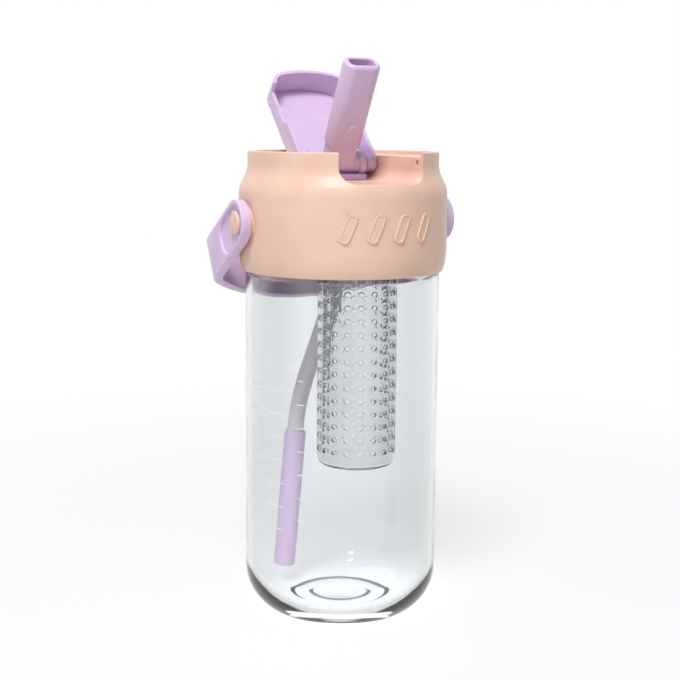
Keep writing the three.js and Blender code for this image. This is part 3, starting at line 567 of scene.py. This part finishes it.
wall_depth = 12.5
edges = [e for e in plate.edges if not all(abs(v.co.y - cover_back * mm) < same_place for v in e.verts)]
pulled(cover_shape, bmesh.ops.extrude_edge_only(cover_shape, edges=edges), 0, 0, -wall_depth)
rounded(cover_shape, [e for e in plate.edges if len(e.link_faces) == 2], 2, segments=6)
bmesh.ops.recalc_face_normals(cover_shape, faces=cover_shape.faces)
print("cover sheet", len(cover_shape.faces), "faces")

# %% [markdown]
# The sheet gets its thickness inwards, then the walls are trimmed: deep at the front, shallow along the
# sides, deeper again by the hinge. The trimming shape is a flat outline drawn out sideways.


# %% Helpers for shapes drawn along one axis
def drawn_out(corners, from_x, to_x, segments=6):
    """A flat outline of (y, z, rounding) drawn out along X."""
    shape = outline(corners, closed=True, segments=segments)
    bmesh.ops.contextual_create(shape, geom=shape.edges[:])
    pulled(shape, bmesh.ops.extrude_face_region(shape, geom=shape.faces[:]), 0, to_x - from_x, 0)
    swap_x_and_y = Matrix(((0, 1, 0, from_x * mm), (1, 0, 0, 0), (0, 0, 1, 0), (0, 0, 0, 1)))
    moved(shape, swap_x_and_y)
    bmesh.ops.recalc_face_normals(shape, faces=shape.faces)
    return shape


def bar_along_x(radius, from_x, to_x, rounding=0.0, steps=48):
    """A round bar on the X axis."""
    length = to_x - from_x
    corners = [(0, 0, 0), (radius, 0, rounding), (radius, length, rounding), (0, length, 0)]
    return moved(turned(corners, steps=steps), at(from_x, 0, 0) @ tipped(90, "Y"))


# %% Thicken and trim the cover
def thicken(piece, wall, side):
    """Gives a sheet its wall: inwards where side is -1, and to both sides where it is 0."""
    step = piece.modifiers.new("wall", "SOLIDIFY")
    step.thickness = wall * mm
    step.offset = side
    step.use_even_offset = True
    settle(piece)


cover = as_object("lilac_cover", cover_shape)
thicken(cover, cover_wall, -1)
front_corner = -math.sqrt(skirt_radius ** 2 - cover_half ** 2) - hinge.y
trim_front, trim_back, trim_low = front_corner + 5, 6, -8
side_edge, hinge_edge = -1.2, -4.2
trim = drawn_out([
    (trim_front, trim_low, 0), (trim_front, side_edge, 1.5), (-23, side_edge, 2.5), (-19, hinge_edge, 2),
    (trim_back, hinge_edge, 0), (trim_back, trim_low, 0),
], -30, 30)
carve(cover, trim)
soften(cover, 0.5, angle=50)
print("cover tray", len(cover.data.polygons), "faces")

# %% [markdown]
# Each ear is a rounded tab with an eye for the hinge pin. A slot in the plate leaves room for the spout's
# barrel, a raised panel stiffens the tray's floor, and a small bump near each front corner clicks into a
# dimple in the channel's wall.

# %% Add the ears and cut the slot and the eyes
ear_inside, ear_radius, eye_radius, ear_edge = 13.3, 3.5, 1.8, 0.4
tab_size, slot_size, slot_corner = (4.5, 4.9, 5.2), (2 * ear_inside, 12, 6), 1.2
for side in (-1, 1):
    inner, outer = sorted((side * ear_inside, side * cover_half))
    carve(cover, moved(block(tab_size, ear_edge), at((inner + outer) / 2, -1.05, 2.9)), "UNION")
    carve(cover, bar_along_x(ear_radius, inner, outer, rounding=ear_edge), "UNION")
carve(cover, moved(block(slot_size, slot_corner, edges=2), at(0, 2.4, 6)))
carve(cover, bar_along_x(eye_radius, -25, 25, steps=24))
print("ears added,", len(cover.data.polygons), "faces")


# %% Add the panel, the ribs and the bumps, and swing the cover open
def swing(piece, pivot, angle):
    """Tips a piece that was drawn with its pivot at the origin about X, and puts the pivot in its place."""
    shape = bmesh.new()
    shape.from_mesh(piece.data)
    moved(shape, at(*pivot) @ tipped(angle, "X"))
    shape.to_mesh(piece.data)
    shape.free()


panel_gap, panel_back, panel_top, panel_corner, panel_depth = 0.2, -7, 5.2, 3.2, 0.95
panel_half, panel_radius = cover_half - cover_wall - panel_gap, skirt_radius - cover_wall - panel_gap
rib_size, rib_edge, bump_radius, bump_height = (1.3, 6, 5), 0.5, 1.2, 0.7
panel = tray_plate(panel_half, panel_radius, panel_back, panel_top, panel_corner)
pulled(panel, bmesh.ops.extrude_face_region(panel, geom=panel.faces[:]), 0, 0, -panel_depth)
extras = [panel]
extras += [moved(block(rib_size, rib_edge), at(side * 13.5, -8.6, 3.2)) for side in (-1, 1)]
for side in (-1, 1):
    corners = [(0, 0, 0), (bump_radius, 0, 0), (bump_radius, bump_height, 0.35), (0, bump_height, 0)]
    place = at(side * (cover_half - 0.3), front_corner + 7.5, 3.7) @ tipped(90 * side, "Y")
    extras.append(moved(turned(corners, steps=24), place))
for extra in extras:
    bmesh.ops.recalc_face_normals(extra, faces=extra.faces)
    carve(cover, extra, "UNION")
cover_opening = 136
swing(cover, hinge, -cover_opening)
dress(cover, lilac, "cover", "lilac_plastic", "flip_cover", sharp=30)

# %% [markdown]
# ## The spout
#
# The drinking spout is a soft-cornered pipe on a round barrel. It is drawn upright over the hinge: a rounded
# bar becomes the pipe, an inset on its end leaves the lip, and pushing the middle in makes the bore. Then it
# leans forward to the angle at which the open cover holds it.

# %% Draw the pipe
pipe_length, pipe_wall, bore_depth = 39.5, 2.2, 36
pipe = block((15.4, 10, pipe_length), 4.2, edges=2, segments=10)
foot = min(pipe.faces, key=lambda face: face.calc_center_median().z)
rounded(pipe, foot.edges[:], 3, segments=6)
end = max(pipe.faces, key=lambda face: face.calc_center_median().z)
bmesh.ops.inset_region(pipe, faces=[end], thickness=pipe_wall * mm, use_even_offset=True)
bore = bmesh.ops.extrude_face_region(pipe, geom=[end])
bmesh.ops.delete(pipe, geom=[end], context="FACES_ONLY")
pulled(pipe, bore, 0, 0, -bore_depth)
bmesh.ops.recalc_face_normals(pipe, faces=pipe.faces)
print("pipe", len(pipe.faces), "faces")

# %% Round the pipe's lip, more outside than inside
top = max(v.co.z for v in pipe.verts)
lips = {True: [], False: []}
for edge in pipe.edges:
    walls = [face for face in edge.link_faces if abs(face.normal.z) < 0.3]
    if walls and all(abs(v.co.z - top) < same_place for v in edge.verts):
        lips[walls[0].normal.dot(edge.verts[0].co) > 0].append(edge)
for outside, rounding in ((True, 1.5), (False, 0.5)):
    rounded(pipe, lips[outside], rounding)
bmesh.ops.recalc_face_normals(pipe, faces=pipe.faces)
pipe_y, pipe_foot = -1, 8.5
moved(pipe, at(0, pipe_y, pipe_foot + pipe_length / 2))
print("pipe with its lip", len(pipe.faces), "faces")

# %% Join the pipe to its barrel and lean it
barrel_radius, barrel_half, end_radius, end_inside, end_outside = 4.3, 12, 5.2, 9.4, 12.3
collar = moved(block((13.4, 6.4, 8.6), 1.6, edges=2), at(0, pipe_y, 6))
barrel = bar_along_x(barrel_radius, -barrel_half, barrel_half, steps=64)
knuckle = block((16.4, 7.3, 7.3), 0.4)
ends = [bar_along_x(end_radius, *sorted((side * end_inside, side * end_outside)), rounding=0.5, steps=64)
        for side in (-1, 1)]
saddle = moved(block((21.6, 7.2, 3.8), 0.5), at(0, 0, 1.9))
nub_lean, spout_lean = 14, 30
nub = moved(block((3.6, 2.7, 4.4), 0.9), at(0.4, -5.6, 19.6) @ tipped(nub_lean, "Y"))
spout = as_object("lilac_spout", pipe)
for extra in (collar, saddle, knuckle, barrel, *ends, nub):
    bmesh.ops.recalc_face_normals(extra, faces=extra.faces)
    carve(spout, extra, "UNION")
swing(spout, hinge, spout_lean)
dress(spout, lilac, "spout", "lilac_plastic", "spout", sharp=35)

# %% [markdown]
# ## The carry loop
#
# The loop is a flat lilac band that runs from one side of the lid round its back. A path of Bezier points
# gives the band's middle line, an extrusion gives its width, and a Solidify step its thickness. Round ends
# come from keeping only what lies inside a long rounded outline seen from the side.

# %% Bend the band
strap_inner, strap_thick, strap_width = 44.7, 4.0, 19.0
left, arm, reach = -strap_inner - strap_thick / 2, 36.3, 58.5
bend_start, bend_end = (left, arm - 4, 0), (left + 3.2, arm + 3.2, 0)
path = [Vector((left, -12, 0)), Vector(bend_start)]
path += interpolate_bezier(bend_start, (left, arm - 1, 0), (left + 1, arm + 1.4, 0), bend_end, 8)[1:]
path += interpolate_bezier(bend_end, (left + 11.2, arm + 12, 0), (-20, reach, 0), (0, reach, 0), 20)[1:]
path += [Vector((-point.x, point.y, 0)) for point in path[-2::-1]]
band = bmesh.new()
line = [band.verts.new(point * mm - Vector((0, 0, strap_width / 2 * mm))) for point in path]
edges = [band.edges.new(pair) for pair in zip(line, line[1:])]
pulled(band, bmesh.ops.extrude_edge_only(band, edges=edges), 0, 0, strap_width)
bmesh.ops.recalc_face_normals(band, faces=band.faces)
loop = as_object("lilac_loop", band)
thicken(loop, strap_thick, 0)
print("band of", len(path), "points")

# %% Round the hubs, sink the button seats and hang the loop
half, past_back = strap_width / 2, reach + 20
seat_half, seat_end, seat_depth, pivot_eye = 7.6, 19, 1.2, 3.5
short = 0.01  # a rounding this much under half the width keeps two corners from meeting
hub, seat_round = half - short, seat_half - short
side_view = [(-half, -half, hub), (past_back, -half, 0), (past_back, half, 0), (-half, half, hub)]
carve(loop, drawn_out(side_view, -60, 60, segments=16), "INTERSECT")
for side in (-1, 1):
    outer = side * (strap_inner + strap_thick)
    seat = drawn_out([(-seat_half, -seat_half, seat_round), (seat_end, -seat_half, seat_round),
                      (seat_end, seat_half, seat_round), (-seat_half, seat_half, seat_round)],
                     *sorted((outer - side * seat_depth, outer + side * 3)), segments=24)
    carve(loop, seat)
    carve(loop, bar_along_x(pivot_eye, *sorted((side * (strap_inner - 1), outer))))
soften(loop, 0.9, angle=45, segments=4)
loop_droop = 30
swing(loop, handle_pivot, -loop_droop)
dress(loop, lilac, "handle", "lilac_plastic", "handle_strap", sharp=30)

# %% [markdown]
# A peach button with a domed head closes each pivot. It is turned like the lid and laid on its side.

# %% Turn the pivot buttons
shank, head, head_start, button_start = 3, 5, 6.3, 41.3
for side, word in ((-1, "left"), (1, "right")):
    button_shape = turned([(0, 0, 0), (shank, 0, 0.3), (shank, head_start, 0), (head, head_start, 0.2),
                           (head, head_start + 1.3, 0.9), (0, head_start + 1.8, 0)], steps=64)
    moved(button_shape, at(side * button_start, 0, handle_pivot.z) @ tipped(90 * side, "Y"))
    button = as_object("peach_button_" + word, button_shape)
    dress(button, peach, "lid", "peach_plastic", "handle_button_" + word, sharp=35)

# %% [markdown]
# ## The infuser cup
#
# The cup is a clear tube with rows of small round holes. Cutting hundreds of holes with booleans would be
# slow and rough, so the wall is spun as a grid of cells instead: an inset shrinks each cell's face, deleting
# it opens a square hole, and a Subdivision Surface step rounds the squares.

# %% Spin the cell grid and open the holes
cup_radius, cup_bottom, cup_top, cup_wall = 16.5, 67.0, 157.4, 1.5
around, rows = 18, 15
cells = bmesh.new()
low, high = cup_bottom + 4.5, cup_top - 4
heights = [low + (high - low) * row / rows for row in range(rows + 1)]
line = [cells.verts.new((cup_radius * mm, 0, height * mm)) for height in heights]
for pair in zip(line, line[1:]):
    cells.edges.new(pair)
bmesh.ops.spin(cells, geom=cells.verts[:] + cells.edges[:], axis=(0, 0, 1), cent=(0, 0, 0), angle=math.tau,
               steps=around, use_merge=True)
bmesh.ops.remove_doubles(cells, verts=cells.verts, dist=same_place)
bmesh.ops.recalc_face_normals(cells, faces=cells.faces)
holes = cells.faces[:]
for border in (1.25, 0.55):
    bmesh.ops.inset_individual(cells, faces=holes, thickness=border * mm, use_even_offset=True)
bmesh.ops.delete(cells, geom=holes, context="FACES_ONLY")
print("infuser holes:", len(holes))

# %% Close the cup's floor and top, and give it a wall
base_rings = [(cup_radius, 69.5), (15.6, 67.6), (14, cup_bottom), (7, cup_bottom)]
top_rings = [(cup_radius, 156.2), (15.6, cup_top), (13.9, 157.6), (13.9, 161.2)]
for edge_height, rings in ((low, base_rings), (high, top_rings)):
    ends = [e for e in cells.edges if all(abs(v.co.z - edge_height * mm) < same_place for v in e.verts)]
    last_height = edge_height
    for radius, height in rings:
        grown = bmesh.ops.extrude_edge_only(cells, edges=ends)
        points = pulled(cells, grown, 0, 0, height - last_height)
        growth = radius * mm / points[0].co.xy.length
        bmesh.ops.scale(cells, vec=(growth, growth, 1), verts=points)
        ends = [e for e in grown["geom"] if isinstance(e, bmesh.types.BMEdge)]
        last_height = height
    if rings is base_rings:
        bmesh.ops.contextual_create(cells, geom=ends)
bmesh.ops.recalc_face_normals(cells, faces=cells.faces)
moved(cells, at(*infuser_axis))
cup = as_object("clear_infuser_cup", cells)
step = cup.modifiers.new("wall", "SOLIDIFY")
step.thickness = cup_wall * mm
step.offset = -1
step = cup.modifiers.new("round holes", "SUBSURF")
step.levels = step.render_levels = 2
settle(cup)
dress(cup, clear_cup, "infuser", "clear_plastic", "infuser_basket", sharp=60)
cup.visible_shadow = False  # as the body's

# %% [markdown]
# ## The straw and its sleeve
#
# A soft milky sleeve plugs onto the inner cap and bends aside, and the lilac straw pushes onto its lower end
# and runs down almost to the floor. The straw is straight, so it is turned and then leaned. The sleeve's stem
# follows a curve: a curve object with a round bevel sweeps it, and becomes a mesh.

# %% Turn the straw and lean it into place
straw_upper, straw_lower = Vector((-11.6, 24, 73)), Vector((-17, 24, 12.5))
straw_radius, straw_bore = 4.9, 4.0
length = (straw_upper - straw_lower).length
straw_shape = turned([(straw_bore, 0, 0.3), (straw_radius, 0, 0.4), (straw_radius, length, 0.4),
                      (straw_bore, length, 0.3)], steps=64, closed=True)
stand = (straw_upper - straw_lower).to_track_quat("Z", "Y").to_matrix().to_4x4()
straw = as_object("lilac_straw", moved(straw_shape, at(*straw_lower) @ stand))
dress(straw, lilac, "lid", "lilac_plastic", "straw", sharp=40)

# %% Sweep the sleeve's stem
stem_start, stem_pull, stem_grip = Vector((0, hinge.y, 152.5)), 31.8, 10
stem_radius, stem_wall = 3.7, 1.2
down = (straw_lower - straw_upper).normalized()
bend_from, bend_to = stem_start - Vector((0, 0, stem_pull)), straw_upper - down * stem_pull
route = [stem_start + Vector((0, 0, 1.5))]
route += interpolate_bezier(stem_start, bend_from, bend_to, straw_upper, 32)
route += [straw_upper + down * stem_grip]
curve = bpy.data.curves.new("stem", "CURVE")
curve.dimensions = "3D"
spline = curve.splines.new("POLY")
spline.points.add(len(route) - 1)
for spot, point in zip(spline.points, route):
    spot.co = (*(point * mm), 1)
curve.bevel_depth = stem_radius * mm
curve.bevel_resolution = 8
swept = bpy.data.objects.new("stem", curve)
bpy.context.scene.collection.objects.link(swept)
bpy.context.view_layer.update()
stem_shape = bmesh.new()
stem_shape.from_mesh(swept.evaluated_get(bpy.context.evaluated_depsgraph_get()).to_mesh())
bpy.data.objects.remove(swept)
bmesh.ops.remove_doubles(stem_shape, verts=stem_shape.verts, dist=same_place)
bmesh.ops.recalc_face_normals(stem_shape, faces=stem_shape.faces)
bmesh.ops.solidify(stem_shape, geom=stem_shape.faces[:], thickness=stem_wall * mm)
# The tube's wall is one closed shell now, so its faces can be turned outwards once more.
bmesh.ops.recalc_face_normals(stem_shape, faces=stem_shape.faces)
print("stem", len(stem_shape.faces), "faces")

# %% Turn the sleeve's socket and join the two
socket_radius, socket_bore, socket_top, socket_floor = 5.0, 3.3, 169.7, stem_start.z + stem_wall
stem_bore = stem_radius - stem_wall
socket_shape = turned([
    (stem_bore, stem_start.z, 0.2), (socket_radius, stem_start.z, 0.6), (socket_radius, socket_top, 0.5),
    (socket_bore, socket_top, 0.2), (socket_bore, socket_floor, 0), (stem_bore, socket_floor, 0),
], steps=64, closed=True)
sleeve = as_object("milky_sleeve", together(stem_shape, moved(socket_shape, at(0, hinge.y, 0))))
dress(sleeve, natural, "lid", "frosted_plastic", "straw_sleeve", sharp=40)

# %% [markdown]
# ## The pieces that stay as the frame made them
#
# The inner cap, seals, valve, pins and collar already have their true shape, and they sit deep inside the
# lid. They keep their solids and only get finishes.

# %% Finish the hidden pieces
finishes = {
    "lid_liner": natural, "lid_gasket": white_silicone, "vent_valve": white_silicone,
    "spout_seal": lilac_silicone, "hinge_pin_left": steel, "hinge_pin_right": steel,
    "infuser_collar": clear_cup,
}
for name, finish in finishes.items():
    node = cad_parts[name]
    node.data.materials.clear()
    node.data.materials.append(finish)
print("finished as they are:", ", ".join(finishes))

# %% [markdown]
# ## The studio
#
# A clear bottle in an evenly white room all but vanishes, because every bent ray ends on white. Product
# photographers darken the sides of the room, so that the bottle's edges bend that tone into view. Here the
# surroundings and the floor turn grey to the left and right for bent and mirrored rays only. A soft lamp at
# the upper left is the key, and a pale floor takes the shadow.


# %% Which rays see the room, and how it looks to them
picture_right, narrowness = (0.906, -0.423, 0), 6.0


def seen_directly(tree):
    """1 for camera, mirrored and bent rays, which see the room, and 0 for the rays that light the bottle."""
    rays = add(tree, "ShaderNodeLightPath")
    plain = add(tree, "ShaderNodeMath", {
        0: rays.outputs["Is Camera Ray"], 1: rays.outputs["Is Glossy Ray"]}, operation="ADD")
    every = add(tree, "ShaderNodeMath", {
        0: plain.outputs[0], 1: rays.outputs["Is Transmission Ray"]}, operation="ADD", use_clamp=True)
    return every.outputs[0]


def grey_to_the_sides(tree, direction, shade):
    """A strength that falls from 1 by `shade` towards the picture's left and right. Camera rays keep 1."""
    across = add(tree, "ShaderNodeVectorMath", {0: direction, 1: picture_right}, operation="DOT_PRODUCT")
    sideways = add(tree, "ShaderNodeMath", {0: across.outputs["Value"]}, operation="ABSOLUTE")
    narrow = add(tree, "ShaderNodeMath", {0: sideways.outputs[0], 1: narrowness}, operation="POWER")
    darker = add(tree, "ShaderNodeMath", {0: narrow.outputs[0], 1: shade}, operation="MULTIPLY")
    kept = add(tree, "ShaderNodeMath", {0: 1.0, 1: darker.outputs[0]}, operation="SUBTRACT")
    rays = add(tree, "ShaderNodeLightPath")
    return add(tree, "ShaderNodeMath", {0: kept.outputs[0], 1: rays.outputs["Is Camera Ray"]},
               operation="MAXIMUM").outputs[0]


# %% White surroundings
room_light, side_shade = 0.34, 0.8
scene = bpy.context.scene
scene.view_settings.view_transform = "Standard"
world = bpy.data.worlds.new("white studio")
scene.world = world
world.use_nodes = True
tree = world.node_tree
tree.nodes.clear()
room = grey_to_the_sides(tree, add(tree, "ShaderNodeTexCoord").outputs["Generated"], side_shade)
level = add(tree, "ShaderNodeMapRange", {"Value": seen_directly(tree), "To Min": room_light, "To Max": room})
sky = add(tree, "ShaderNodeBackground", {"Color": (1, 1, 1, 1), "Strength": level.outputs["Result"]})
add(tree, "ShaderNodeOutputWorld", {"Surface": sky.outputs["Background"]})
print("surroundings: white where seen,", room_light, "as light")

# %% Floor of white paper
floor_shape = bmesh.new()
bmesh.ops.create_grid(floor_shape, x_segments=8, y_segments=8, size=3.0)
floor = as_object("pale_floor", floor_shape)
paper, tree = fresh("white_paper")
place = add(tree, "ShaderNodeTexCoord").outputs["Object"]
fibre_length = 3 * mm  # drawn this long so that the fibres show
fibres = add(tree, "ShaderNodeTexNoise", {"Vector": place, "Scale": 1 / fibre_length, "Detail": 2})
tone = add(tree, "ShaderNodeValToRGB", {"Fac": fibres.outputs["Fac"]})
tone.color_ramp.elements[0].color = linear("#F4F4F4")
tone.color_ramp.elements[1].color = linear("#FBFBFB")
matt = add(tree, "ShaderNodeBsdfDiffuse", {"Color": tone.outputs["Color"]})
print("floor", len(floor.data.polygons), "faces")

# %% The floor's glow, where it is seen, over the shadow
outward = add(tree, "ShaderNodeVectorMath", {0: place}, operation="NORMALIZE")
away = add(tree, "ShaderNodeVectorMath", {0: place}, operation="LENGTH")
# The grey begins 60 mm from the bottle's axis and is full at 200 mm.
begin = add(tree, "ShaderNodeMapRange", {
    "Value": away.outputs["Value"], "From Min": 60 * mm, "From Max": 200 * mm,
    "To Min": 0.0, "To Max": side_shade})
strength = grey_to_the_sides(tree, outward.outputs["Vector"], begin.outputs["Result"])
glow = add(tree, "ShaderNodeEmission", {"Color": (1, 1, 1, 1), "Strength": strength})
# The shadow's part of the paper fades out between 120 mm and 500 mm from the bottle.
fade = add(tree, "ShaderNodeMapRange", {
    "Value": away.outputs["Value"], "From Min": 120 * mm, "From Max": 500 * mm, "To Min": 0.7, "To Max": 1.0,
}, interpolation_type="SMOOTHSTEP")
share = add(tree, "ShaderNodeMath", {0: seen_directly(tree), 1: fade.outputs["Result"]}, operation="MULTIPLY")
mixed = add(tree, "ShaderNodeMixShader", {
    0: share.outputs[0], 1: matt.outputs["BSDF"], 2: glow.outputs["Emission"]})
add(tree, "ShaderNodeOutputMaterial", {"Surface": mixed.outputs["Shader"]})
floor.data.materials.append(paper)
print("floor finish:", paper.name)


# %% Lamps
lamp_target = Vector((0, 0, 0.14))


def lamp(name, azimuth, elevation, distance, size, watts):
    """A square soft lamp that faces the bottle's upper half. Azimuth 0 is the front, and -90 the left."""
    light = bpy.data.lights.new(name, "AREA")
    light.shape = "SQUARE"
    light.size = size
    light.energy = watts
    lamp_object = bpy.data.objects.new(name, light)
    scene.collection.objects.link(lamp_object)
    a, e = math.radians(azimuth), math.radians(elevation)
    away = Vector((math.sin(a) * math.cos(e), -math.cos(a) * math.cos(e), math.sin(e)))
    lamp_object.location = lamp_target + away * distance
    lamp_object.rotation_euler = away.to_track_quat("Z", "Y").to_euler()


lamp("key", azimuth=-40, elevation=58, distance=1.1, size=0.3, watts=9.5)
lamp("fill", azimuth=-100, elevation=20, distance=1.3, size=0.8, watts=0.3)
lamp("back", azimuth=190, elevation=48, distance=1.2, size=0.5, watts=1.2)

# %% [markdown]
# ## The camera
#
# The picture is taken from a little above the rim, 25 degrees to the left of the notch, close enough for the
# body to taper slightly. A small vertical shift puts the bottle in the frame without tilting it further.

# %% Camera
camera = bpy.data.objects.new("camera", bpy.data.cameras.new("camera"))
scene.collection.objects.link(camera)
sensor, picture_width, focal_pixels = 36, 680, 1230
camera.data.sensor_width = sensor
camera.data.lens = focal_pixels / picture_width * sensor
camera.data.shift_y = -0.06
azimuth, distance, height = -25, 0.518, 0.2048
yaw, pitch, roll = 0.1, -7.77, 0.45
turn = math.radians(azimuth)
camera.location = (math.sin(turn) * distance, -math.cos(turn) * distance, height)
face = tipped(azimuth + yaw, "Z") @ tipped(90 + pitch, "X") @ tipped(roll, "Z")
camera.rotation_euler = face.to_euler()
scene.camera = camera
print("lens", round(camera.data.lens, 1), "mm")
